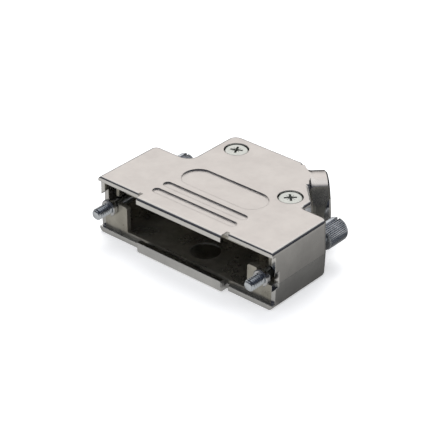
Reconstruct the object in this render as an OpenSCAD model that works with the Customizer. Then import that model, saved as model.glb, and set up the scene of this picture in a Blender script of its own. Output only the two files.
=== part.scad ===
// 25-way D-sub hood: a two-part die-cast clamshell with a slanted cable exit.
// X runs across the connector, -Y points out of the mouth, Z is up.
// The origin is on the underside, midway between the jackscrews, below the front edge of the wings.

/* [Hood outline] */
// Width across the two wings
hood_w = 54; // [54:0.1:56]
// Height of the closed hood
hood_h = 15.2; // [15:0.1:16]
// Height of the seam between the two shells
seam_z = 6.45; // [5.8:0.05:6.6]
// Depth of the wings from the front edge to the back wall
wing_d = 20.4; // [20:0.1:21]
// Distance from the centre to the left side of the body
body_left = 15.9; // [15:0.1:16.5]
// Distance from the centre to the right side of the body
body_right = 19.3; // [19:0.1:19.6]
// Distance from the front edge of the wings to the back of the body
body_back = 37.2; // [37:0.1:38]
// Distance along X from the centre to where the slanted wall leaves the back
slant_x = 5.95; // [5.6:0.05:6.4]

/* [Walls] */
// Thickness of the upright walls
wall_t = 1.4; // [1.2:0.1:1.5]
// Thickness of the top plate and of the floor
plate_t = 1.3; // [1.2:0.1:1.4]
// Radius of the upright corners
corner_r = 1.9; // [1.8:0.05:2.1]
// Radius of the upright corner at the back left
apex_r = 2.6; // [2:0.1:3]
// Radius along the top edges
top_r = 1; // [0.8:0.05:1.1]
// Radius along the bottom edges
bottom_r = 1.2; // [1:0.05:1.25]
// Lean of each upright wall between the seam and its rounded edge
lean = 0.2; // [0.1:0.05:0.25]
// Radius of the hollow corner between the left wing and the body
hollow_left_r = 2.4; // [2:0.1:2.8]
// Radius of the hollow corner between the right wing and the body
hollow_right_r = 0.8; // [0.6:0.1:1]

/* [Mouth] */
// Half width of the lips that hold the connector's flange
lip_half_w = 12.9; // [12.5:0.1:13.2]
// How far the lips stand out in front of the wings
lip_out = 1.75; // [1.6:0.05:2]
// Thickness of the lips
lip_t = 1.3; // [1.1:0.05:1.4]
// Height of the upper lip
upper_lip_h = 1.75; // [1.6:0.05:2]
// Height of the lower lip
lower_lip_h = 2.95; // [2.6:0.05:3.1]
// Distance from the wings' front edge to the seat behind the flange
seat_y = 1; // [0.9:0.05:1.1]

/* [Top pattern] */
// Half length of the long sunk field
field_half_w = 12.25; // [11.5:0.05:12.5]
// Depth of the sunk field and of the two sunk bars
sunk_depth = 0.35; // [0.2:0.05:0.5]

/* [Cable exit] */
// Outer radius of the exit collar
exit_r = 7.5; // [7:0.05:7.55]
// Radius of the cable hole
cable_r = 5.25; // [4.5:0.05:5.5]
// Length of the collar beyond the slanted wall
exit_len = 5.1; // [4.5:0.1:6]
// Distance along the slanted wall from its far corner to the collar's axis
exit_offset = 6.15; // [6:0.05:7]

/* [Jackscrews] */
// Spacing of the two jackscrews, fixed by the connector standard
jack_pitch = 47.04; // [47.04:0.01:47.04]
// Outer radius of the 4-40 UNC thread
thread_r = 1.42; // [1.4:0.01:1.42]
// How far the threaded tips stand out of the mouth
tip_out = 4.6; // [4:0.1:6]
// Radius of the knurled head
head_r = 3; // [2.8:0.05:3.1]
// Length of the knurled head
head_len = 6.6; // [6:0.1:8]
// Free travel of each jackscrew
float_travel = 1.5; // [1.4:0.1:1.8]
// Number of ribs round the knurled head
knurl_count = 32; // [24:1:40]

/* [Hidden] */
$fn = 64;

// Small overlap that keeps joined shapes and cuts clean
eps = 0.01;

half_w = hood_w / 2;
mid_z = hood_h / 2;
floor_z = plate_t;
roof_z = hood_h - plate_t;
// Sum of X and Y along the slanted wall, which lies at 45 degrees
slant_sum = slant_x + body_back;
facet_in = 0.2;
// Points on the narrow facets that soften the two ends of the slanted wall
slant_back = [slant_x, body_back] - facet_in * [cos(67.5), sin(67.5)];
slant_front = [body_right, slant_sum - body_right] - facet_in * [cos(22.5), sin(22.5)];
// The outline starts in front of the mouth, and its front is cut off at Y = 0
front_y = -6;
wing_edge_r = 0.6;

// Outline of the hood at the seam, anticlockwise, before the slanted wall is cut
OUTLINE = [
    [-half_w, front_y], [half_w, front_y], [half_w, wing_d], [body_right, wing_d],
    [body_right, body_back], [-body_left, body_back], [-body_left, wing_d], [-half_w, wing_d]
];
OUTLINE_R = [0, 0, corner_r, hollow_right_r, corner_r, apex_r, hollow_left_r, corner_r];
// Outline with the slanted wall, for the space inside
INSIDE = [
    [-half_w, front_y], [half_w, front_y], [half_w, wing_d], [body_right, wing_d],
    [body_right, slant_sum - body_right], [slant_x, body_back],
    [-body_left, body_back], [-body_left, wing_d], [-half_w, wing_d]
];

// The collar's axis crosses the slanted wall here
exit_x = slant_x + exit_offset * sin(45);
exit_y = body_back - exit_offset * sin(45);
exit_flare = 1.4;
exit_rim = 0.45;

// Sunk bars in the top: front edge and back edge of each
BARS = [[3, 5.15], [6.7, 8.95]];
bar_half_w = 12.65;
FIELD = [10.8, 19];

// Assembly screws, M3 with hexagon nuts
SCREWS = [[-10.3, 31.3], [14.05, 22]];
boss_r = 4;
screw_hole_r = 1.6;
screw_r = 1.5;
screw_head_r = 2.93;
screw_head_h = 1.85;
counterbore_r = 3.08;
counterbore_z = hood_h - 2;
screw_end_z = 0.4;
nut_flats = 5.5;
nut_h = 2.4;
nut_top_z = 2.8;
nut_pocket_flats = 5.7;
nut_bore_r = 1.52;

// Jackscrew stations along Y
jack_x = jack_pitch / 2;
jack_hole_r = 1.65;
ring_front_y = -0.45;
ring_back_y = seat_y - 0.1;
ring_r = 2.1;
ring_bore_r = 1.15;
neck_r = 1.1;
neck_play = 0.05;
tip_chamfer = 0.42;
head_front_y = wing_d + float_travel;
knurl_depth = 0.26;
head_chamfer = 0.35;
driver_slot_w = 0.9;
driver_slot_d = 1.4;

// Webs that carry the jackscrews just behind the flange
web_t = 1.3;
web_inner_x = 18.6;
web_top_z = 9;
web_round_r = 0.8;
scallop_r = 4;
scallop_d = 1.2;
rail_t = 0.5;
rail_h = 1;
rail_step = 0.6;
rib_t = 1;
rib_front_y = 3.2;

// Cable clamp inside, a pair of arched bars across the cable's axis
clamp_in = 10.5;
clamp_reach = 7.05;
clamp_end_r = 1.95;
bar_t = 1.2;
clamp_r = 4;
clamp_screw_r = 1.25;
clamp_hole_r = 1.4;
clamp_head_r = 1.9;
clamp_head_h = 1.5;
clamp_post_r = 1.9;
clamp_screw_end_z = 2.6;

SHELL_TOP = [0.85, 0.82, 0.79];
SHELL_LOW = [0.75, 0.74, 0.73];
ZINC = [0.7, 0.75, 0.8];
STEEL = [0.6, 0.62, 0.65];

// ---- Plan geometry ----

function unit(v) = v / norm(v);
function next(p, i) = p[(i + 1) % len(p)];
function prior(p, i) = p[(i + len(p) - 1) % len(p)];
// Direction of the edge that leaves point i, and its outward side
function along(p, i) = unit(next(p, i) - p[i]);
function outward(p, i) = [along(p, i)[1], -along(p, i)[0]];
function heading(v) = atan2(v[1], v[0]);
// Turn of the outline at point i, in degrees, negative in a hollow corner
function turn(p, i) =
    let(before = unit(p[i] - prior(p, i)), after = along(p, i))
    acos(before * after) * sign(cross(before, after));
// Distance from point i to where its rounding meets the edges
function setback(p, r, i) = r[i] * tan(abs(turn(p, i)) / 2);
function edge_start(p, r, i) = p[i] + along(p, i) * setback(p, r, i);
function edge_end(p, r, i) = next(p, i) - along(p, i) * setback(p, r, (i + 1) % len(p));
function before(p, i) = (i + len(p) - 1) % len(p);
// Every side moved inwards by t
function inset(p, t) = [
    for (i = [0 : len(p) - 1])
        let(n0 = outward(p, before(p, i)), n1 = outward(p, i))
        p[i] - t / (1 + n0 * n1) * (n0 + n1)
];
// Points on an arc about c, from direction d0 to direction d1, in degrees
function arc(c, r, d0, d1, steps) = [
    for (k = [0 : steps]) let(d = d0 + (d1 - d0) * k / steps) c + r * [cos(d), sin(d)]
];
// Inner part of an outline, up to the given depth behind its edges
function core_corner(p, r, i, depth) =
    let(
        n0 = outward(p, before(p, i)),
        n1 = outward(p, i),
        start = edge_start(p, r, i),
        c = start + n1 * r[i],
        reach = r[i] + depth
    )
    turn(p, i) < 0 ?
        [c - n0 * reach, each arc(c, reach - 0.05, heading(-n0) - 30, heading(-n1) + 30, 1), c - n1 * reach]
    : r[i] > depth ?
        [edge_end(p, r, before(p, i)) - n0 * depth, start - n1 * depth]
    :
        [p[i] - depth / (1 + n0 * n1) * (n0 + n1)];
function core(p, r, depth) = [for (i = [0 : len(p) - 1]) each core_corner(p, r, i, depth)];

// ---- Building blocks ----

// Section of a leaning wall with a rounded top, standing on the X axis
module wall_section(reach, h, r) {
    difference() {
        polygon([[0, 0], [reach, 0], [reach - lean, h - r], [reach - lean, h], [0, h]]);
        difference() {
            translate([reach - lean - r, h - r]) square([r + 1, r + 1]);
            translate([reach - lean - r, h - r]) circle(r);
        }
    }
}

// Block on an outline: leaning sides, rounded and hollow corners, rounded top edge
module leaning_block(p, r, h, edge_r) {
    depth = 1.6;
    linear_extrude(h) polygon(core(p, r, depth));
    for (i = [0 : len(p) - 1]) {
        start = edge_start(p, r, i);
        end = edge_end(p, r, i);
        foot = end - outward(p, i) * depth;
        translate([foot[0], foot[1], 0])
            rotate([90, 0, heading(outward(p, i))])
                linear_extrude(norm(end - start)) wall_section(depth, h, edge_r);
        if (r[i] > 0 && turn(p, i) > 0) {
            c = start - outward(p, i) * r[i];
            translate([c[0], c[1], 0])
                rotate([0, 0, heading(outward(p, before(p, i)))])
                    rotate_extrude(angle = turn(p, i)) wall_section(r[i], h, edge_r);
        }
        if (r[i] > 0 && turn(p, i) < 0) {
            c = start + outward(p, i) * r[i];
            translate([c[0], c[1], 0])
                rotate([0, 0, heading(-outward(p, i))])
                    rotate_extrude(angle = -turn(p, i))
                        translate([r[i] + depth, 0]) mirror([1, 0]) wall_section(depth, h, edge_r);
        }
    }
}

// Everything outside a leaning wall through point p that faces the given direction in plan
module wall_cutter(p, direction, reach, h, edge_r) {
    r = edge_r - 0.05;
    c = [-lean - r, h - r];
    translate([p[0], p[1], 0]) rotate([90, 0, direction]) translate([0, 0, -reach])
        linear_extrude(2 * reach) difference() {
            polygon([[0, 0], [0, -1], [20, -1], [20, h + 1], [c[0], h + 1], c, [-lean, c[1]]]);
            translate(c) circle(r);
        }
}

// Solid envelope of one shell, standing on the seam and cut off square at the mouth
module envelope(h, edge_r) {
    difference() {
        leaning_block(OUTLINE, OUTLINE_R, h, edge_r);
        translate([-half_w - 1, front_y - 1, -1]) cube([hood_w + 2, -front_y + 1, h + 2]);
        wall_cutter([slant_x, body_back], 45, 20, h, edge_r);
        wall_cutter(slant_back, 67.5, 3, h, edge_r - 0.05);
        wall_cutter(slant_front, 22.5, 2, h, edge_r - 0.05);
    }
}

// Moves children to the cable exit: X points out along the cable, Y along the slanted wall
module at_exit() {
    translate([exit_x, exit_y, mid_z]) rotate([0, 0, 45]) children();
}

// Collar round the cable hole, and the flare where it leaves the wall
module exit_collar() {
    back = -wall_t - 0.1;
    r = exit_r + exit_flare;
    at_exit() rotate([0, 90, 0]) rotate_extrude() polygon([
        [0, back], [exit_r, back], [exit_r, exit_len - exit_rim],
        [exit_r - exit_rim, exit_len], [0, exit_len]
    ]);
    intersection() {
        at_exit() rotate([0, 90, 0]) rotate_extrude() polygon([
            [exit_r - 1, back], [r, back], [r, 0.02],
            [exit_r + exit_flare / 2, exit_flare * 0.134],
            [exit_r + exit_flare * 0.134, exit_flare / 2],
            [exit_r - 0.134, exit_flare * 1.5], [exit_r - 1, exit_flare * 1.5]
        ]);
        translate([-half_w, wing_d - 6, 0]) cube([3 * half_w, body_back - 0.3 - wing_d + 6, hood_h]);
    }
}

// Where the seam steps up to the cable's axis, so that each shell holds half of the collar
module exit_zone() {
    at_exit() translate([-wall_t - 0.2, -exit_r - 2.5, -mid_z - 1])
        cube([exit_len + wall_t + 2, 2 * exit_r + 5, mid_z + 1]);
}

module upper_outside() {
    difference() {
        union() {
            translate([0, 0, seam_z]) envelope(hood_h - seam_z, top_r);
            exit_collar();
        }
        exit_zone();
    }
}

module lower_outside() {
    translate([0, 0, seam_z]) mirror([0, 0, 1]) envelope(seam_z, bottom_r);
    intersection() {
        union() {
            translate([0, 0, seam_z]) envelope(hood_h - seam_z, top_r);
            exit_collar();
        }
        exit_zone();
    }
}

// Inside of the hood between floor and roof, open at the mouth
module hood_inside() {
    translate([0, 0, floor_z]) linear_extrude(roof_z - floor_z) polygon(inset(INSIDE, wall_t));
}

module cable_hole() {
    at_exit() rotate([0, 90, 0]) translate([0, 0, -4]) cylinder(h = exit_len + 5, r = cable_r);
}

module jack_axis(side) {
    translate([side * jack_x, 0, mid_z]) rotate([-90, 0, 0]) children();
}

// Seat of the flange, and round scallops in the side walls' front edges
module mouth_cuts() {
    translate([-half_w - 1, -5, floor_z]) cube([hood_w + 2, 5 + seat_y, roof_z - floor_z]);
    for (side = [-1, 1])
        jack_axis(side) translate([0, 0, -1]) cylinder(h = seat_y + 1 + scallop_d, r = scallop_r);
}

// Narrow slots that free the lips from the wings' front edges
module lip_slots() {
    slot_w = 0.9;
    slot_d = 0.7;
    for (side = [-1, 1])
        translate([side * (lip_half_w + slot_w / 2) - slot_w / 2, -1, -1])
            cube([slot_w, 1 + slot_d, hood_h + 2]);
}

// Section of the upper lip, seen along X: Y outwards is to the left
module upper_lip() {
    r = 0.9;
    rotate([90, 0, 90]) linear_extrude(2 * lip_half_w) difference() {
        union() {
            translate([-lip_out, roof_z - 0.45]) square([lip_t, hood_h - roof_z + 0.45]);
            translate([-lip_out, roof_z]) square([lip_out + 1, plate_t]);
        }
        difference() {
            translate([-lip_out - eps, hood_h - r]) square([r + eps, r + eps]);
            translate([-lip_out + r, hood_h - r]) circle(r);
        }
    }
}

module lower_lip() {
    r = 0.8;
    rotate([90, 0, 90]) linear_extrude(2 * lip_half_w) difference() {
        union() {
            translate([-lip_out, 0]) square([lip_t, lower_lip_h]);
            translate([-lip_out, 0]) square([lip_out + 1, plate_t]);
        }
        difference() {
            translate([-lip_out - eps, -eps]) square([r + eps, r + eps]);
            translate([-lip_out + r, r]) circle(r);
        }
    }
}

module slot_shape(x, y0, y1) {
    r = (y1 - y0) / 2;
    translate([-x + r, y0]) square([2 * (x - r), 2 * r]);
    for (side = [-1, 1]) translate([side * (x - r), y0 + r]) circle(r);
}

// Sunk bars and field in the top plate
module top_pattern() {
    translate([0, 0, hood_h - sunk_depth]) linear_extrude(1) {
        for (b = BARS) slot_shape(bar_half_w, b[0], b[1]);
        slot_shape(field_half_w, FIELD[0], FIELD[1]);
    }
}

// Rounding along the front top edge of each wing
module wing_edges() {
    r = wing_edge_r;
    for (side = [-1, 1])
        translate([side * (lip_half_w + 8) - 7.55, 0, hood_h]) rotate([90, 0, 90])
            linear_extrude(15.1) difference() {
                translate([-1, -r]) square([r + 1, r + 1]);
                translate([r, -r]) circle(r);
            }
}

module hexagon_prism(flats, h) {
    cylinder(h = h, r = flats / 2 / cos(30), $fn = 6);
}

// Gussets that tie the rear left boss to the walls beside it
module boss_gussets(z0, z1) {
    t = 2;
    translate([-body_left + 0.7, SCREWS[0][1] - t / 2, z0]) cube([body_left + SCREWS[0][0], t, z1 - z0]);
    translate([SCREWS[0][0] - t / 2, SCREWS[0][1], z0]) cube([t, body_back - SCREWS[0][1] - 0.7, z1 - z0]);
}

module bosses(z0, z1) {
    for (s = SCREWS) translate([s[0], s[1], z0]) cylinder(h = z1 - z0, r = boss_r);
    boss_gussets(z0, z1);
}

// ---- Upper shell ----

// Rail behind the flange, and a rib over each jackscrew
module roof_ribs() {
    translate([-web_inner_x, seat_y, roof_z - rail_h]) cube([2 * web_inner_x, rail_t, rail_h + eps]);
    for (side = [-1, 1])
        translate([side * jack_x - rib_t / 2, rib_front_y, mid_z + jack_hole_r + 0.05])
            cube([rib_t, wing_d - wall_t - rib_front_y + eps, roof_z - mid_z - jack_hole_r]);
}

module upper_shell() {
    color(SHELL_TOP) difference() {
        union() {
            difference() {
                upper_outside();
                hood_inside();
                mouth_cuts();
            }
            translate([-lip_half_w, 0, 0]) upper_lip();
            difference() {
                bosses(seam_z, roof_z + eps);
                exit_zone();
            }
            roof_ribs();
        }
        cable_hole();
        lip_slots();
        wing_edges();
        top_pattern();
        for (s = SCREWS) translate([s[0], s[1], 0]) {
            cylinder(h = hood_h, r = screw_hole_r);
            translate([0, 0, counterbore_z]) cylinder(h = 3, r = counterbore_r);
        }
        for (side = [-1, 1]) {
            jack_axis(side) translate([0, 0, wing_d - 3]) cylinder(h = 5, r = jack_hole_r);
            translate([side * jack_x - jack_hole_r, wing_d - 3, seam_z - 1])
                cube([2 * jack_hole_r, 5, mid_z - seam_z + 1]);
        }
    }
}

// ---- Lower shell ----

// Web behind the flange that carries one jackscrew in an open notch
module jack_web(side) {
    mirror([side < 0 ? 1 : 0, 0, 0]) translate([0, seat_y + web_t, 0]) rotate([90, 0, 0])
        linear_extrude(web_t) difference() {
            union() {
                translate([web_inner_x, floor_z - 0.2])
                    square([half_w - wall_t - web_inner_x + 0.2, web_top_z - web_round_r - floor_z + 0.2]);
                translate([web_inner_x + web_round_r, floor_z])
                    square([2, web_top_z - floor_z]);
                translate([web_inner_x + web_round_r, web_top_z - web_round_r]) circle(web_round_r);
            }
            translate([jack_x, mid_z]) circle(jack_hole_r);
            translate([jack_x - jack_hole_r, mid_z]) square([8, 8]);
            translate([jack_x, mid_z - jack_hole_r]) square([8, 8]);
        }
}

// Tongue of the lower shell that closes the jackscrew's hole in the back wall
module jack_tongue(side) {
    play = 0.05;
    w = jack_hole_r - play;
    translate([side * jack_x - w, wing_d - wall_t, seam_z - 1])
        cube([2 * w, wall_t - 0.05, 1 + mid_z - seam_z - 0.35]);
}

module clamp_posts() {
    at_exit() for (side = [-1, 1])
        translate([-clamp_in, side * clamp_reach, -mid_z + floor_z - 0.2])
            cylinder(h = mid_z - bar_t - floor_z + 0.2, r = clamp_post_r);
}

module clamp_post_holes() {
    at_exit() for (side = [-1, 1])
        translate([-clamp_in, side * clamp_reach, clamp_screw_end_z - 0.6 - mid_z])
            cylinder(h = mid_z, r = clamp_hole_r);
}

module lower_shell() {
    color(SHELL_LOW) difference() {
        union() {
            difference() {
                lower_outside();
                hood_inside();
                mouth_cuts();
            }
            translate([-lip_half_w, 0, 0]) lower_lip();
            bosses(floor_z - eps, seam_z);
            clamp_posts();
            translate([-web_inner_x - 0.5, seat_y, floor_z - 0.2]) cube([2 * web_inner_x + 1, rail_t, rail_h + 0.2]);
            translate([-web_inner_x - 0.5, seat_y, floor_z - 0.2])
                cube([2 * web_inner_x + 1, rail_t + rail_step, rail_h / 2 + 0.2]);
            for (side = [-1, 1]) {
                jack_web(side);
                jack_tongue(side);
            }
        }
        cable_hole();
        lip_slots();
        clamp_post_holes();
        translate([0, 8, floor_z - 0.2]) cylinder(h = 1, r = 3.65);
        for (s = SCREWS) translate([s[0], s[1], -1]) {
            cylinder(h = hood_h, r = screw_hole_r);
            hexagon_prism(nut_pocket_flats, nut_top_z + 1);
        }
        for (side = [-1, 1])
            jack_axis(side) translate([0, 0, wing_d - 3]) cylinder(h = 5, r = jack_hole_r);
    }
}

// ---- Jackscrews and their retaining rings ----

function knurl_outline() = [
    for (i = [0 : knurl_count - 1])
        let(a = 360 / knurl_count)
        each [
            head_r * [cos(i * a), sin(i * a)],
            head_r * [cos((i + 0.3) * a), sin((i + 0.3) * a)],
            (head_r - knurl_depth) * [cos((i + 0.65) * a), sin((i + 0.65) * a)]
        ]
];

module knurled_head() {
    difference() {
        intersection() {
            linear_extrude(head_len) polygon(knurl_outline());
            rotate_extrude() polygon([
                [0, 0], [head_r - head_chamfer, 0], [head_r + eps, head_chamfer],
                [head_r + eps, head_len - head_chamfer], [head_r - head_chamfer, head_len], [0, head_len]
            ]);
        }
        translate([-head_r - 1, -driver_slot_w / 2, head_len - driver_slot_d])
            cube([2 * head_r + 2, driver_slot_w, driver_slot_d + 1]);
    }
}

module jackscrew(side) {
    neck_front = ring_front_y - neck_play;
    neck_back = ring_back_y + neck_play;
    color(ZINC) jack_axis(side) {
        rotate_extrude() polygon([
            [0, -tip_out], [thread_r - tip_chamfer, -tip_out], [thread_r, -tip_out + tip_chamfer],
            [thread_r, neck_front], [neck_r, neck_front], [neck_r, neck_back],
            [thread_r, neck_back], [thread_r, head_front_y + head_chamfer], [0, head_front_y + head_chamfer]
        ]);
        translate([0, 0, head_front_y]) knurled_head();
    }
}

// Open ring that snaps over the neck of a jackscrew
module retaining_ring(side) {
    edge = 0.2;
    gap_w = 1.9;
    color(STEEL) jack_axis(side) difference() {
        rotate_extrude() polygon([
            [ring_bore_r, ring_front_y], [ring_r - edge, ring_front_y],
            [ring_r, ring_front_y + edge], [ring_r, ring_back_y - edge],
            [ring_r - edge, ring_back_y], [ring_bore_r, ring_back_y]
        ]);
        translate([-gap_w / 2, 0, ring_front_y - 1]) cube([gap_w, 5, ring_back_y - ring_front_y + 2]);
    }
}

module jackscrew_left() { jackscrew(-1); }
module jackscrew_right() { jackscrew(1); }
module retaining_ring_left() { retaining_ring(-1); }
module retaining_ring_right() { retaining_ring(1); }

// ---- Assembly screws and nuts ----

// Cross recess with the short rays of a Pozidriv head, cut from z = 0 down
module cross_recess(size, depth) {
    for (a = [0, 90]) rotate([0, 0, a])
        translate([-size / 2, -size / 11, -depth]) cube([size, size / 5.5, depth + 1]);
    for (a = [45, 135]) rotate([0, 0, a])
        translate([-size / 2.4, -0.06, -0.15]) cube([size / 1.2, 0.12, 1.15]);
}

module domed_head(r, h, edge) {
    rotate_extrude() {
        square([r - edge, h]);
        square([r, h - edge]);
        translate([r - edge, h - edge]) intersection() {
            circle(edge);
            translate([-min(edge, r - edge), -edge]) square(2 * edge);
        }
    }
}

module assembly_screw(i) {
    color(ZINC) translate([SCREWS[i][0], SCREWS[i][1], 0]) difference() {
        union() {
            translate([0, 0, counterbore_z]) domed_head(screw_head_r, screw_head_h, 0.5);
            translate([0, 0, screw_end_z]) cylinder(h = counterbore_z - screw_end_z + eps, r = screw_r);
        }
        translate([0, 0, counterbore_z + screw_head_h]) rotate([0, 0, 25 + 20 * i]) cross_recess(3.1, 1.2);
    }
}

module assembly_nut(i) {
    color(STEEL) translate([SCREWS[i][0], SCREWS[i][1], nut_top_z - nut_h]) difference() {
        hexagon_prism(nut_flats, nut_h);
        translate([0, 0, -1]) cylinder(h = nut_h + 2, r = nut_bore_r);
    }
}

module assembly_screw_left() { assembly_screw(0); }
module assembly_screw_right() { assembly_screw(1); }
module assembly_nut_left() { assembly_nut(0); }
module assembly_nut_right() { assembly_nut(1); }

// ---- Cable clamp ----

// Arched bar across the cable, its ears flat on the middle plane, arch upwards
module clamp_bar(hole_r) {
    width = 2 * clamp_end_r;
    outer = clamp_r + bar_t;
    difference() {
        union() {
            translate([-clamp_end_r, -clamp_reach, 0]) cube([width, 2 * clamp_reach, bar_t]);
            for (side = [-1, 1])
                translate([0, side * clamp_reach, 0]) cylinder(h = bar_t, r = clamp_end_r);
            intersection() {
                rotate([0, 90, 0]) translate([0, 0, -clamp_end_r]) cylinder(h = width, r = outer);
                translate([-5, -outer - 1, 0]) cube([10, 2 * outer + 2, outer + 1]);
            }
        }
        rotate([0, 90, 0]) translate([0, 0, -clamp_end_r - 1]) cylinder(h = width + 2, r = clamp_r);
        for (side = [-1, 1])
            translate([0, side * clamp_reach, -1]) cylinder(h = bar_t + 2, r = hole_r);
    }
}

module clamp_bar_upper() {
    color(STEEL) at_exit() translate([-clamp_in, 0, 0]) clamp_bar(clamp_hole_r);
}

module clamp_bar_lower() {
    color(STEEL) at_exit() translate([-clamp_in, 0, 0]) mirror([0, 0, 1]) clamp_bar(clamp_screw_r + 0.02);
}

module clamp_screw(side) {
    color(ZINC) at_exit() translate([-clamp_in, side * clamp_reach, bar_t]) difference() {
        union() {
            domed_head(clamp_head_r, clamp_head_h, 0.5);
            translate([0, 0, clamp_screw_end_z - mid_z - bar_t])
                cylinder(h = mid_z + bar_t - clamp_screw_end_z + eps, r = clamp_screw_r);
        }
        translate([0, 0, clamp_head_h]) cross_recess(2.4, 1);
    }
}

module clamp_screw_rear() { clamp_screw(1); }
module clamp_screw_front() { clamp_screw(-1); }

upper_shell();
lower_shell();
jackscrew_left();
jackscrew_right();
retaining_ring_left();
retaining_ring_right();
assembly_screw_left();
assembly_screw_right();
assembly_nut_left();
assembly_nut_right();
clamp_bar_upper();
clamp_bar_lower();
clamp_screw_rear();
clamp_screw_front();
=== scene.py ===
"""Looks, studio and camera for the D-sub cable hood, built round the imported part."""

import logging
import math
from dataclasses import dataclass
from enum import Enum
from typing import Callable

import bmesh
import bpy
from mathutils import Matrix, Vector

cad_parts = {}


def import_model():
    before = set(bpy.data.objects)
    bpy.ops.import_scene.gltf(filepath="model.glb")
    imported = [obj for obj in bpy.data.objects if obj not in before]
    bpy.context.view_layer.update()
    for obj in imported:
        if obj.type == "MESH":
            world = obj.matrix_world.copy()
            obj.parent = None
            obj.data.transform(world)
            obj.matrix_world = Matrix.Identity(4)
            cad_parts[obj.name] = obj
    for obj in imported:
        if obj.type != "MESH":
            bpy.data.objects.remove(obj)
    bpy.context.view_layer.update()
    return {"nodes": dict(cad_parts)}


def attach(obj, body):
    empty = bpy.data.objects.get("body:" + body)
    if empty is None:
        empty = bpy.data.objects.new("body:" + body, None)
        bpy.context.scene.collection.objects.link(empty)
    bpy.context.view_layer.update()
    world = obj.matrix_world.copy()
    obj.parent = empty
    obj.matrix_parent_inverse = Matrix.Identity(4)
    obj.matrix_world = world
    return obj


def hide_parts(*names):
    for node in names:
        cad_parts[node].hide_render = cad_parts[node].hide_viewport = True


LOG = logging.getLogger("hood")
MM = 0.001


class Side(Enum):
    """The two ends of the jackscrew row, by the sign of X."""

    LEFT = -1
    RIGHT = 1

    @property
    def word(self) -> str:
        """The side's name as the nodes spell it."""
        return self.name.lower()


# ---- Finishes, with darker copies that paint shade ----


@dataclass(frozen=True)
class Plating:
    """One plated metal surface, or a darker copy of one that paints shade.

    Attributes:
        name: Name of the material.
        dark: Darker end of the plating's slight colour variation.
        light: Lighter end of it.
        rough_low: Roughness of the shiniest patches.
        rough_high: Roughness of the dullest patches.
        cloud_scale: Patches per metre of the colour and gloss variation.
        grain_scale: Grains per metre of the fine surface texture.
        grain_depth: Strength of the fine texture, from 0 to 1.
        ripple_scale: Waves per metre of the casting's slow ripple.
        ripple_depth: Strength of that ripple, from 0 to 1.
        edge_m: Radius over which the surface's edges look rounded, in metres.
        metal: Share of bare metal, the rest being a dull film.
    """

    name: str
    dark: tuple[float, float, float]
    light: tuple[float, float, float]
    rough_low: float
    rough_high: float
    cloud_scale: float = 160.0
    grain_scale: float = 9000.0
    grain_depth: float = 0.1
    ripple_scale: float = 220.0
    ripple_depth: float = 0.05
    edge_m: float = 0.1 * MM
    metal: float = 1.0


BLASTED = Plating(
    "satin_nickel", (0.70, 0.665, 0.645), (0.82, 0.785, 0.76), 0.34, 0.44,
    grain_scale=4200.0, grain_depth=0.34, ripple_depth=0.03, edge_m=0.28 * MM,
)
POLISHED = Plating(
    "polished_nickel", (0.70, 0.69, 0.68), (0.80, 0.79, 0.775), 0.12, 0.20,
    grain_depth=0.05, ripple_scale=260.0, ripple_depth=0.12, edge_m=0.22 * MM,
)
# Darker, greyer copy of the polished nickel for the lower shell's sides: painted shade of the lower
# shell
LOWER_PAINTED_SHADE = Plating(
    "polished_nickel_lower_painted_shade", (0.62, 0.62, 0.62), (0.74, 0.74, 0.735), 0.14, 0.22,
    grain_depth=0.06, ripple_scale=240.0, ripple_depth=0.12, edge_m=0.22 * MM,
)
# Darker, duller nickel for the faces within the hood: painted shade of its enclosed space
INSIDE_PAINTED_SHADE = Plating(
    "inside_nickel_painted_shade", (0.34, 0.325, 0.28), (0.56, 0.54, 0.48), 0.22, 0.38, metal=0.88,
    grain_depth=0.10, ripple_scale=300.0, ripple_depth=0.30, edge_m=0.18 * MM,
)
ZINC = Plating(
    "blue_zinc", (0.60, 0.64, 0.69), (0.76, 0.80, 0.85), 0.16, 0.28,
    cloud_scale=420.0, grain_depth=0.08, ripple_depth=0.02, edge_m=0.05 * MM,
)
PALE_ZINC = Plating(
    "pale_zinc", (0.62, 0.65, 0.62), (0.78, 0.80, 0.77), 0.24, 0.38,
    cloud_scale=900.0, grain_scale=7000.0, grain_depth=0.24, ripple_depth=0.04, edge_m=0.12 * MM,
)
STEEL = Plating(
    "bright_steel", (0.60, 0.61, 0.63), (0.74, 0.745, 0.76), 0.18, 0.30,
    cloud_scale=420.0, grain_depth=0.08, ripple_depth=0.02, edge_m=0.08 * MM,
)


class Graph:
    """A small helper that lays out one node tree."""

    def __init__(self, tree: bpy.types.NodeTree) -> None:
        """Empties the tree.

        Args:
            tree: Node tree of a material or of the world.
        """
        self.tree = tree
        tree.nodes.clear()

    def add(self, kind: str, **values: object) -> bpy.types.Node:
        """Adds a node and sets its attributes and unlinked inputs.

        Args:
            kind: Blender's node type.
            values: Attributes by name, or input values by the input's name with _ for a space.

        Returns:
            The new node.
        """
        node = self.tree.nodes.new(kind)
        for key, value in values.items():
            if hasattr(node, key):
                setattr(node, key, value)
            else:
                node.inputs[key.replace("_", " ")].default_value = value
        return node

    def link(self, source: bpy.types.NodeSocket, target: bpy.types.NodeSocket) -> None:
        """Joins two sockets.

        Args:
            source: Output socket.
            target: Input socket.
        """
        self.tree.links.new(source, target)


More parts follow.
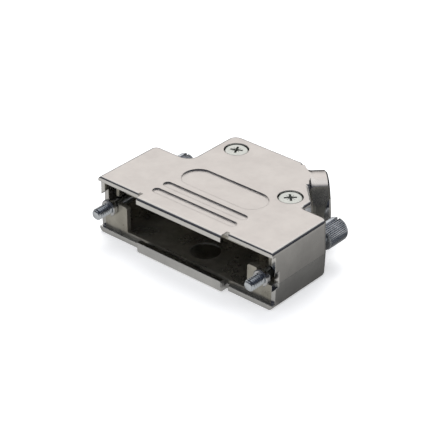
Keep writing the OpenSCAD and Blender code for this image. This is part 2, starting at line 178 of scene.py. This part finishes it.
class PlatingShader:
    """Builds the node material of a plated metal surface."""

    def __init__(self, plating: Plating) -> None:
        """Keeps the finish.

        Args:
            plating: The surface to build.
        """
        self.plating = plating

    def surface(self, graph: Graph, coords: bpy.types.NodeSocket) -> bpy.types.Node:
        """Adds the shader nodes of this surface.

        Args:
            graph: Tree that gets the nodes.
            coords: Object coordinates.

        Returns:
            The Principled shader node.
        """
        p = self.plating
        cloud = graph.add("ShaderNodeTexNoise", Scale=p.cloud_scale, Detail=4.0, Roughness=0.6)
        graph.link(coords, cloud.inputs["Vector"])
        ramp = graph.add("ShaderNodeValToRGB")
        ramp.color_ramp.elements[0].position = 0.35
        ramp.color_ramp.elements[0].color = (*p.dark, 1)
        ramp.color_ramp.elements[1].position = 0.68
        ramp.color_ramp.elements[1].color = (*p.light, 1)
        graph.link(cloud.outputs["Fac"], ramp.inputs["Fac"])
        gloss = graph.add("ShaderNodeMapRange", To_Min=p.rough_low, To_Max=p.rough_high)
        gloss.inputs["From Min"].default_value = 0.3
        gloss.inputs["From Max"].default_value = 0.7
        graph.link(cloud.outputs["Fac"], gloss.inputs["Value"])
        ripple = graph.add("ShaderNodeTexNoise", Scale=p.ripple_scale, Detail=2.0)
        grain = graph.add("ShaderNodeTexNoise", Scale=p.grain_scale, Detail=3.0)
        for noise in (ripple, grain):
            graph.link(coords, noise.inputs["Vector"])
        edges = graph.add("ShaderNodeBevel", samples=6, Radius=p.edge_m)
        slow = graph.add("ShaderNodeBump", Strength=p.ripple_depth, Distance=0.3 * MM)
        fine = graph.add("ShaderNodeBump", Strength=p.grain_depth, Distance=0.03 * MM)
        graph.link(ripple.outputs["Fac"], slow.inputs["Height"])
        graph.link(grain.outputs["Fac"], fine.inputs["Height"])
        graph.link(edges.outputs["Normal"], slow.inputs["Normal"])
        graph.link(slow.outputs["Normal"], fine.inputs["Normal"])
        shader = graph.add("ShaderNodeBsdfPrincipled", Metallic=p.metal)
        graph.link(ramp.outputs["Color"], shader.inputs["Base Color"])
        graph.link(gloss.outputs["Result"], shader.inputs["Roughness"])
        graph.link(fine.outputs["Normal"], shader.inputs["Normal"])
        return shader

    def material(self) -> bpy.types.Material:
        """Makes the material.

        Returns:
            A material with one plated surface.
        """
        made = bpy.data.materials.new(self.plating.name)
        made.use_nodes = True
        graph = Graph(made.node_tree)
        coords = graph.add("ShaderNodeTexCoord").outputs["Object"]
        shader = self.surface(graph, coords)
        out = graph.add("ShaderNodeOutputMaterial")
        graph.link(shader.outputs["BSDF"], out.inputs["Surface"])
        return made


@dataclass(frozen=True)
class ShellFinishAndShade:
    """A shell with a blasted top, polished sides and painted shade inside, as a darker tint.

    Attributes:
        name: Name of the material.
        top: Finish of the faces that look up, above the given height.
        rest: Finish of the other outer faces.
        inside: Darker surface of the faces within the given boxes, painted shade of the space inside.
        above_m: Height over which the first finish counts.
        rooms: Boxes of the space inside, where the painted shade goes, each as lowest and highest
            corner, in metres.
    """

    name: str
    top: Plating
    rest: Plating
    inside: Plating
    above_m: float
    rooms: tuple[tuple[tuple[float, float, float], tuple[float, float, float]], ...]

    def material(self) -> bpy.types.Material:
        """Makes the material.

        Returns:
            A material that mixes the blasted top, the polished sides and the painted shade of the
            inside by where a face is and which way it looks.
        """
        made = bpy.data.materials.new(self.name)
        made.use_nodes = True
        graph = Graph(made.node_tree)
        coords = graph.add("ShaderNodeTexCoord").outputs["Object"]
        top = PlatingShader(self.top).surface(graph, coords)
        rest = PlatingShader(self.rest).surface(graph, coords)
        inside = PlatingShader(self.inside).surface(graph, coords)
        facing = graph.add("ShaderNodeSeparateXYZ")
        graph.link(graph.add("ShaderNodeNewGeometry").outputs["Normal"], facing.inputs["Vector"])
        place = graph.add("ShaderNodeSeparateXYZ")
        graph.link(coords, place.inputs["Vector"])
        upward = graph.add("ShaderNodeMapRange", From_Min=0.93, From_Max=0.99)
        graph.link(facing.outputs["Z"], upward.inputs["Value"])
        high = self._compare(graph, place.outputs["Z"], "GREATER_THAN", self.above_m)
        on_top = self._both(graph, upward.outputs["Result"], high)
        room = self._rooms(graph, place)
        outer = self._mix(graph, on_top, rest.outputs["BSDF"], top.outputs["BSDF"])
        # Faces within the rooms take the darker surface, painted shade of the space inside
        whole = self._mix(graph, room, outer, inside.outputs["BSDF"])
        out = graph.add("ShaderNodeOutputMaterial")
        graph.link(whole, out.inputs["Surface"])
        return made

    def _rooms(self, graph: Graph, place: bpy.types.Node) -> bpy.types.NodeSocket:
        """Adds the nodes that give 1 within any of the rooms and 0 elsewhere."""
        total = None
        for low, high in self.rooms:
            within = None
            for i, axis in enumerate("XYZ"):
                above = self._compare(graph, place.outputs[axis], "GREATER_THAN", low[i])
                below = self._compare(graph, place.outputs[axis], "LESS_THAN", high[i])
                span = self._both(graph, above, below)
                within = span if within is None else self._both(graph, within, span)
            if total is None:
                total = within
            else:
                either = graph.add("ShaderNodeMath", operation="MAXIMUM")
                graph.link(total, either.inputs[0])
                graph.link(within, either.inputs[1])
                total = either.outputs["Value"]
        return total

    def _compare(
        self, graph: Graph, value: bpy.types.NodeSocket, how: str, limit: float
    ) -> bpy.types.NodeSocket:
        node = graph.add("ShaderNodeMath", operation=how)
        node.inputs[1].default_value = limit
        graph.link(value, node.inputs[0])
        return node.outputs["Value"]

    def _both(
        self, graph: Graph, first: bpy.types.NodeSocket, second: bpy.types.NodeSocket
    ) -> bpy.types.NodeSocket:
        node = graph.add("ShaderNodeMath", operation="MULTIPLY")
        graph.link(first, node.inputs[0])
        graph.link(second, node.inputs[1])
        return node.outputs["Value"]

    def _mix(
        self,
        graph: Graph,
        share: bpy.types.NodeSocket,
        first: bpy.types.NodeSocket,
        second: bpy.types.NodeSocket,
    ) -> bpy.types.NodeSocket:
        node = graph.add("ShaderNodeMixShader")
        graph.link(share, node.inputs["Fac"])
        graph.link(first, node.inputs[1])
        graph.link(second, node.inputs[2])
        return node.outputs["Shader"]


# ---- Pieces ----


def dress(node: bpy.types.Object, material: bpy.types.Material) -> None:
    """Gives a carried-over part its finish.

    Args:
        node: The part.
        material: Its finish.
    """
    node.data.materials.clear()
    node.data.materials.append(material)
    LOG.info("dressed %s", node.name)


@dataclass(frozen=True)
class Thread:
    """A 60 degree screw thread.

    Attributes:
        pitch: Advance per turn, in mm.
        depth: Depth of the groove, in mm.
        crest: Share of the pitch that stays flat at the crest.
        root: Share of the pitch that is flat at the root.
    """

    pitch: float = 0.635
    depth: float = 0.36
    crest: float = 0.16
    root: float = 0.22

    def groove(self, turns: float) -> float:
        """Depth below the crest at a place on the helix.

        Args:
            turns: Place along the thread, in pitches.

        Returns:
            Depth in mm.
        """
        place = abs((turns % 1.0) - 0.5) * 2
        flank = 1 - self.crest - self.root
        return self.depth * min(1.0, max(0.0, (place - self.crest) / flank))


@dataclass
class Jackscrew:
    """A jackscrew with its threaded tip, snap ring neck, shaft and knurled, slotted head.

    Attributes:
        side: End of the hood that it is on.
        material: Its finish.
        pitch_mm: Spacing of the two jackscrews.
        axis_z_mm: Height of the axis.
        radius_mm: Outer radius of thread and shaft.
        tip_mm: Place of the tip's end along Y.
        neck_mm: Front and back of the neck.
        neck_radius_mm: Radius of the neck.
        head_mm: Front and back of the head.
        head_radius_mm: Radius over the knurl.
        knurl_depth_mm: Depth of the grooves between the ribs.
        ribs: Number of ribs.
        slot_mm: Width and depth of the driver slot.
        tip_chamfer_mm: Chamfer at the end of the threaded tip.
        head_chamfer_mm: Chamfer at both ends of the head.
        runout_mm: Length over which the thread fades out before the neck.
        thread: The thread on the tip.
        segments: Points round each ring of the mesh.
        rows_per_turn: Rings of the mesh along one pitch of the thread.
    """

    side: Side
    material: bpy.types.Material
    pitch_mm: float = 47.04
    axis_z_mm: float = 7.6
    radius_mm: float = 1.42
    tip_mm: float = -4.6
    neck_mm: tuple[float, float] = (-0.5, 0.95)
    neck_radius_mm: float = 1.1
    head_mm: tuple[float, float] = (21.9, 28.5)
    head_radius_mm: float = 3.0
    knurl_depth_mm: float = 0.27
    ribs: int = 40
    slot_mm: tuple[float, float] = (0.9, 1.4)
    tip_chamfer_mm: float = 0.42
    head_chamfer_mm: float = 0.35
    runout_mm: float = 0.3
    thread: Thread = Thread()
    segments: int = 240
    rows_per_turn: int = 12

    def build(self) -> bpy.types.Object:
        """Makes the jackscrew.

        Returns:
            One mesh that turns and slides with its body.
        """
        bm = bmesh.new()
        rings = [self._ring(bm, y, radius) for y, radius in self._stations()]
        for first, second in zip(rings, rings[1:]):
            for k in range(self.segments):
                after = (k + 1) % self.segments
                bm.faces.new((first[k], first[after], second[after], second[k]))
        bm.faces.new(list(reversed(rings[0])))
        bm.faces.new(rings[-1])
        bmesh.ops.recalc_face_normals(bm, faces=bm.faces)
        name = f"jackscrew_{self.side.word}_threaded"
        mesh = bpy.data.meshes.new(name)
        bm.to_mesh(mesh)
        bm.free()
        screw = bpy.data.objects.new(name, mesh)
        bpy.context.collection.objects.link(screw)
        self._cut_slot(screw)
        screw.data.materials.clear()
        screw.data.materials.append(self.material)
        screw.data.shade_smooth()
        screw.data.set_sharp_from_angle(angle=math.radians(48))
        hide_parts(f"jackscrew_{self.side.word}")
        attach(screw, f"screw_{self.side.word}")
        LOG.info("built %s", name)
        return screw

    def _stations(self) -> list[tuple[float, Callable[[float], float]]]:
        """Places along the axis, each with the radius there as a function of the turn."""
        stations = []
        count = round((self.neck_mm[0] - self.tip_mm) / self.thread.pitch * self.rows_per_turn)
        for k in range(count + 1):
            y = self.tip_mm + (self.neck_mm[0] - self.tip_mm) * k / count
            stations.append((y, self._thread_radius(y)))
        plain = (
            (self.neck_mm[0], self.neck_radius_mm),
            (self.neck_mm[1], self.neck_radius_mm),
            (self.neck_mm[1], self.radius_mm),
            (self.head_mm[0], self.radius_mm),
        )
        stations += [(y, lambda turn, r=r: r) for y, r in plain]
        chamfer = self.head_chamfer_mm
        front, back = self.head_mm
        for y, rim in (
            (front, chamfer), (front + chamfer * 0.5, chamfer * 0.5), (front + chamfer, 0.0),
            (back - chamfer, 0.0), (back - chamfer * 0.5, chamfer * 0.5), (back, chamfer),
        ):
            stations.append((y, self._knurl_radius(rim)))
        return stations

    def _thread_radius(self, y: float) -> Callable[[float], float]:
        """Radius of the threaded tip at one place, by the share of a turn round it."""
        tip = self.radius_mm - self.tip_chamfer_mm + (y - self.tip_mm)
        fade = min(1.0, max(0.0, (self.neck_mm[0] - y) / self.runout_mm))

        def radius(turn: float) -> float:
            cut = self.thread.groove(y / self.thread.pitch - turn) * fade
            return min(self.radius_mm - cut, tip)

        return radius

    def _knurl_radius(self, rim: float) -> Callable[[float], float]:
        """Radius of the knurled head, held back by rim where its ends are chamfered."""

        def radius(turn: float) -> float:
            wave = 0.5 - 0.5 * math.cos(turn * self.ribs * math.tau)
            return min(self.head_radius_mm - self.knurl_depth_mm * wave, self.head_radius_mm - rim)

        return radius

    def _ring(
        self, bm: bmesh.types.BMesh, y: float, radius: Callable[[float], float]
    ) -> list[bmesh.types.BMVert]:
        x = self.side.value * self.pitch_mm / 2
        ring = []
        for k in range(self.segments):
            turn = k / self.segments
            r, angle = radius(turn), turn * math.tau
            ring.append(
                bm.verts.new(
                    Vector((x + r * math.cos(angle), y, self.axis_z_mm + r * math.sin(angle))) * MM
                )
            )
        return ring

    def _cut_slot(self, screw: bpy.types.Object) -> None:
        """Cuts the driver slot across the end of the head."""
        width, depth = self.slot_mm
        bm = bmesh.new()
        bmesh.ops.create_cube(bm, size=1.0)
        reach = 2 * self.head_radius_mm + 2
        bmesh.ops.scale(bm, vec=Vector((width, 2 * depth, reach)) * MM, verts=bm.verts)
        middle = Vector((self.side.value * self.pitch_mm / 2, self.head_mm[1], self.axis_z_mm))
        bmesh.ops.translate(bm, vec=middle * MM, verts=bm.verts)
        mesh = bpy.data.meshes.new("slot_cutter")
        bm.to_mesh(mesh)
        bm.free()
        cutter = bpy.data.objects.new("slot_cutter", mesh)
        bpy.context.collection.objects.link(cutter)
        cut = screw.modifiers.new("driver_slot", "BOOLEAN")
        cut.operation = "DIFFERENCE"
        cut.solver = "EXACT"
        cut.object = cutter
        bpy.context.view_layer.update()
        ready = screw.evaluated_get(bpy.context.evaluated_depsgraph_get())
        slotted = bpy.data.meshes.new_from_object(ready)
        screw.modifiers.clear()
        screw.data = slotted
        bpy.data.objects.remove(cutter)
        bpy.data.meshes.remove(mesh)


# ---- Studio ----


@dataclass(frozen=True)
class Camera:
    """The camera, at the viewing angle of a product shot from above and in front.

    Attributes:
        azimuth: Degrees round the object, 0 in front of the mouth and 90 on its right.
        elevation: Degrees above the horizon.
        place_mm: Place of the lens.
        lens_mm: Focal length on a 36 mm wide sensor.
    """

    azimuth: float = 40.725
    elevation: float = 31.222
    place_mm: tuple[float, float, float] = (237.3, -261.7, 227.0)
    lens_mm: float = 145.946

    def build(self) -> None:
        """Makes the camera and hands it to the scene."""
        data = bpy.data.cameras.new("camera")
        data.sensor_width = 36
        data.lens = self.lens_mm
        data.clip_start, data.clip_end = 0.01, 20
        camera = bpy.data.objects.new("camera", data)
        bpy.context.collection.objects.link(camera)
        a, e = math.radians(self.azimuth), math.radians(self.elevation)
        back = Vector((math.sin(a) * math.cos(e), -math.cos(a) * math.cos(e), math.sin(e)))
        camera.location = Vector(self.place_mm) * MM
        camera.rotation_mode = "QUATERNION"
        camera.rotation_quaternion = (-back).to_track_quat("-Z", "Y")
        bpy.context.scene.camera = camera


@dataclass
class Studio:
    """A pale floor, a soft light behind and above, a dark surround on the near side, and a gloss-only
    table with painted shade beside the object.

    Attributes:
        dark_table: Light of the table's reflection behind and left of the object.
    """

    dark_table: float = 0.08

    def build(self) -> None:
        """Makes the world, the floor, the flags and the lamps."""
        self._world()
        self._floor()
        self._surround()
        self._table()
        self._lamps()

    def _world(self) -> None:
        """White where the camera, a gloss or a clear surface sees it, soft light elsewhere."""
        world = bpy.data.worlds.new("studio")
        world.use_nodes = True
        bpy.context.scene.world = world
        graph = Graph(world.node_tree)
        seen = graph.add("ShaderNodeBackground", Color=(1, 1, 1, 1), Strength=1.0)
        soft = graph.add("ShaderNodeBackground", Color=(0.93, 0.95, 1.0, 1), Strength=0.6)
        path = graph.add("ShaderNodeLightPath")
        first = graph.add("ShaderNodeMath", operation="MAXIMUM")
        graph.link(path.outputs["Is Camera Ray"], first.inputs[0])
        graph.link(path.outputs["Is Glossy Ray"], first.inputs[1])
        second = graph.add("ShaderNodeMath", operation="MAXIMUM")
        graph.link(first.outputs["Value"], second.inputs[0])
        graph.link(path.outputs["Is Transmission Ray"], second.inputs[1])
        mix = graph.add("ShaderNodeMixShader")
        graph.link(second.outputs["Value"], mix.inputs["Fac"])
        graph.link(soft.outputs["Background"], mix.inputs[1])
        graph.link(seen.outputs["Background"], mix.inputs[2])
        out = graph.add("ShaderNodeOutputWorld")
        graph.link(mix.outputs["Shader"], out.inputs["Surface"])

    def _floor(self) -> None:
        """Pale floor that keeps the object's shadow."""
        bm = bmesh.new()
        bmesh.ops.create_circle(bm, cap_ends=True, segments=96, radius=1.6)
        floor = self._stage("floor", bm)
        material = bpy.data.materials.new("pale_floor")
        material.use_nodes = True
        graph = Graph(material.node_tree)
        paper = graph.add("ShaderNodeBsdfDiffuse", Color=(0.94, 0.94, 0.94, 1))
        glow = graph.add("ShaderNodeEmission", Color=(1, 1, 1, 1), Strength=0.36)
        both = graph.add("ShaderNodeAddShader")
        graph.link(paper.outputs["BSDF"], both.inputs[0])
        graph.link(glow.outputs["Emission"], both.inputs[1])
        out = graph.add("ShaderNodeOutputMaterial")
        graph.link(both.outputs["Shader"], out.inputs["Surface"])
        floor.data.materials.append(material)

    def _surround(self) -> None:
        """Dark dome with one bright window behind and left, seen only in gloss."""
        bm = bmesh.new()
        bmesh.ops.create_uvsphere(bm, u_segments=64, v_segments=32, radius=1.5)
        bmesh.ops.delete(bm, geom=[v for v in bm.verts if v.co.z < -0.05], context="VERTS")
        dome = self._stage("dark_surround", bm)
        self._hide_from_all_but_gloss(dome)
        graph, material = self._glow_material("dark_surround")
        coords = graph.add("ShaderNodeTexCoord").outputs["Object"]
        unit = graph.add("ShaderNodeVectorMath", operation="NORMALIZE")
        graph.link(coords, unit.inputs[0])
        towards = graph.add("ShaderNodeVectorMath", operation="DOT_PRODUCT")
        towards.inputs[1].default_value = Vector((-0.50, 0.58, 0.64)).normalized()
        graph.link(unit.outputs["Vector"], towards.inputs[0])
        glow = graph.add("ShaderNodeValToRGB")
        stops = glow.color_ramp.elements
        stops[0].position, stops[0].color = 0.0, (0.045, 0.05, 0.065, 1)
        stops[1].position, stops[1].color = 1.0, (0.92, 0.90, 0.88, 1)
        for at, colour in ((0.60, (0.07, 0.075, 0.09, 1)), (0.74, (0.78, 0.76, 0.745, 1))):
            stops.new(at).color = colour
        graph.link(towards.outputs["Value"], glow.inputs["Fac"])
        height = graph.add("ShaderNodeSeparateXYZ")
        graph.link(unit.outputs["Vector"], height.inputs["Vector"])
        above = graph.add("ShaderNodeMapRange", From_Min=0.16, From_Max=0.34, To_Min=0.08, To_Max=1.12)
        graph.link(height.outputs["Z"], above.inputs["Value"])
        emit = graph.add("ShaderNodeEmission")
        graph.link(glow.outputs["Color"], emit.inputs["Color"])
        graph.link(above.outputs["Result"], emit.inputs["Strength"])
        out = graph.add("ShaderNodeOutputMaterial")
        graph.link(emit.outputs["Emission"], out.inputs["Surface"])
        dome.data.materials.append(material)

    def _table(self) -> None:
        """Shaded table top, seen only in gloss: bright in front, darker beside and behind."""
        bm = bmesh.new()
        bmesh.ops.create_circle(bm, cap_ends=True, segments=96, radius=1.4)
        table = self._stage("shaded_table", bm)
        table.location = (0, 0, 0.02 * MM)
        self._hide_from_all_but_gloss(table)
        graph, material = self._glow_material("shaded_table")
        place = graph.add("ShaderNodeSeparateXYZ")
        graph.link(graph.add("ShaderNodeTexCoord").outputs["Object"], place.inputs["Vector"])
        # Painted shadow of the object on the ground: darkest beside the right side and before the
        # mouth, lighter further out
        right = self._ramp(graph, place.outputs["X"], (27, 47), (0.11, 0.36))
        front = self._ramp(graph, place.outputs["Y"], (0, -16), (0.40, 0.62))
        on_right = self._ramp(graph, place.outputs["X"], (22, 27), (0, 1))
        in_front = self._ramp(graph, place.outputs["Y"], (4, -1), (0, 1))
        behind = self._between(graph, on_right, None, right)
        whole = self._between(graph, in_front, behind, front)
        emit = graph.add("ShaderNodeEmission", Color=(1.0, 0.985, 0.95, 1))
        graph.link(whole, emit.inputs["Strength"])
        out = graph.add("ShaderNodeOutputMaterial")
        graph.link(emit.outputs["Emission"], out.inputs["Surface"])
        table.data.materials.append(material)

    def _ramp(
        self,
        graph: Graph,
        value: bpy.types.NodeSocket,
        span_mm: tuple[float, float],
        levels: tuple[float, float],
    ) -> bpy.types.NodeSocket:
        node = graph.add("ShaderNodeMapRange", To_Min=levels[0], To_Max=levels[1])
        node.inputs["From Min"].default_value = span_mm[0] * MM
        node.inputs["From Max"].default_value = span_mm[1] * MM
        graph.link(value, node.inputs["Value"])
        return node.outputs["Result"]

    def _between(
        self,
        graph: Graph,
        share: bpy.types.NodeSocket,
        first: bpy.types.NodeSocket | None,
        second: bpy.types.NodeSocket,
    ) -> bpy.types.NodeSocket:
        node = graph.add("ShaderNodeMix", data_type="FLOAT")
        graph.link(share, node.inputs["Factor"])
        if first is None:
            node.inputs["A"].default_value = self.dark_table
        else:
            graph.link(first, node.inputs["A"])
        graph.link(second, node.inputs["B"])
        return node.outputs["Result"]

    def _hide_from_all_but_gloss(self, gloss_only: bpy.types.Object) -> None:
        gloss_only.visible_camera = False
        gloss_only.visible_diffuse = False
        gloss_only.visible_shadow = False
        gloss_only.visible_transmission = False

    def _glow_material(self, name: str) -> tuple[Graph, bpy.types.Material]:
        material = bpy.data.materials.new(name)
        material.use_nodes = True
        return Graph(material.node_tree), material

    def _stage(self, name: str, bm: bmesh.types.BMesh) -> bpy.types.Object:
        mesh = bpy.data.meshes.new(name)
        bm.to_mesh(mesh)
        bm.free()
        made = bpy.data.objects.new(name, mesh)
        bpy.context.collection.objects.link(made)
        return made

    def _lamps(self) -> None:
        """Two large lamps for the floor's shadow, not seen in gloss."""
        for name, place, size, watts in (
            ("key", (-0.35, 0.45, 0.75), 0.7, 5.0),
            ("fill", (0.5, -0.5, 0.8), 0.8, 2.0),
        ):
            data = bpy.data.lights.new(name, "AREA")
            data.shape = "DISK"
            data.size = size
            data.energy = watts
            lamp = bpy.data.objects.new(name, data)
            lamp.location = place
            lamp.visible_glossy = False
            lamp.rotation_mode = "QUATERNION"
            lamp.rotation_quaternion = (-Vector(place)).to_track_quat("-Z", "Y")
            bpy.context.collection.objects.link(lamp)


# Space between the wings, then the space in the body behind it, each as two corners; faces within them
# get the painted shade
ROOMS = (
    ((-25.75 * MM, 0.9 * MM, 1.2 * MM), (25.75 * MM, 19.1 * MM, 13.95 * MM)),
    ((-14.6 * MM, 19.0 * MM, 1.2 * MM), (18.0 * MM, 35.9 * MM, 13.95 * MM)),
)
# The blasted finish is on the faces above this height that look up
BLASTED_ABOVE = 14.4 * MM


@dataclass
class Hood:
    """The whole hood: shells, jackscrews, rings, assembly hardware and cable clamp.

    Attributes:
        nodes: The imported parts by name.
    """

    nodes: dict[str, bpy.types.Object]

    def build(self) -> None:
        """Dresses the carried-over parts and builds the jackscrews anew."""
        upper = ShellFinishAndShade("upper_shell_finish_and_shade", BLASTED, POLISHED, INSIDE_PAINTED_SHADE, BLASTED_ABOVE, ROOMS)
        # The lower shell's sides take the darker copy of the polished nickel, painted shade
        lower = ShellFinishAndShade("lower_shell_finish_and_shade", BLASTED, LOWER_PAINTED_SHADE, INSIDE_PAINTED_SHADE, BLASTED_ABOVE, ROOMS)
        zinc = PlatingShader(ZINC).material()
        pale = PlatingShader(PALE_ZINC).material()
        steel = PlatingShader(STEEL).material()
        shell_materials = {"upper_shell": upper.material(), "lower_shell": lower.material()}
        for name, node in self.nodes.items():
            if name.startswith("jackscrew"):
                continue
            if name.startswith("assembly_screw"):
                dress(node, pale)
            elif name.startswith("clamp_screw"):
                dress(node, zinc)
            else:
                dress(node, shell_materials.get(name, steel))
        for side in Side:
            Jackscrew(side, zinc).build()


def main() -> None:
    """Builds the scene."""
    logging.basicConfig(level=logging.INFO, format="%(message)s")
    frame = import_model()
    Hood(frame["nodes"]).build()
    Camera().build()
    Studio().build()
    bpy.context.scene.view_settings.view_transform = "Standard"


if __name__ == "__main__":
    main()
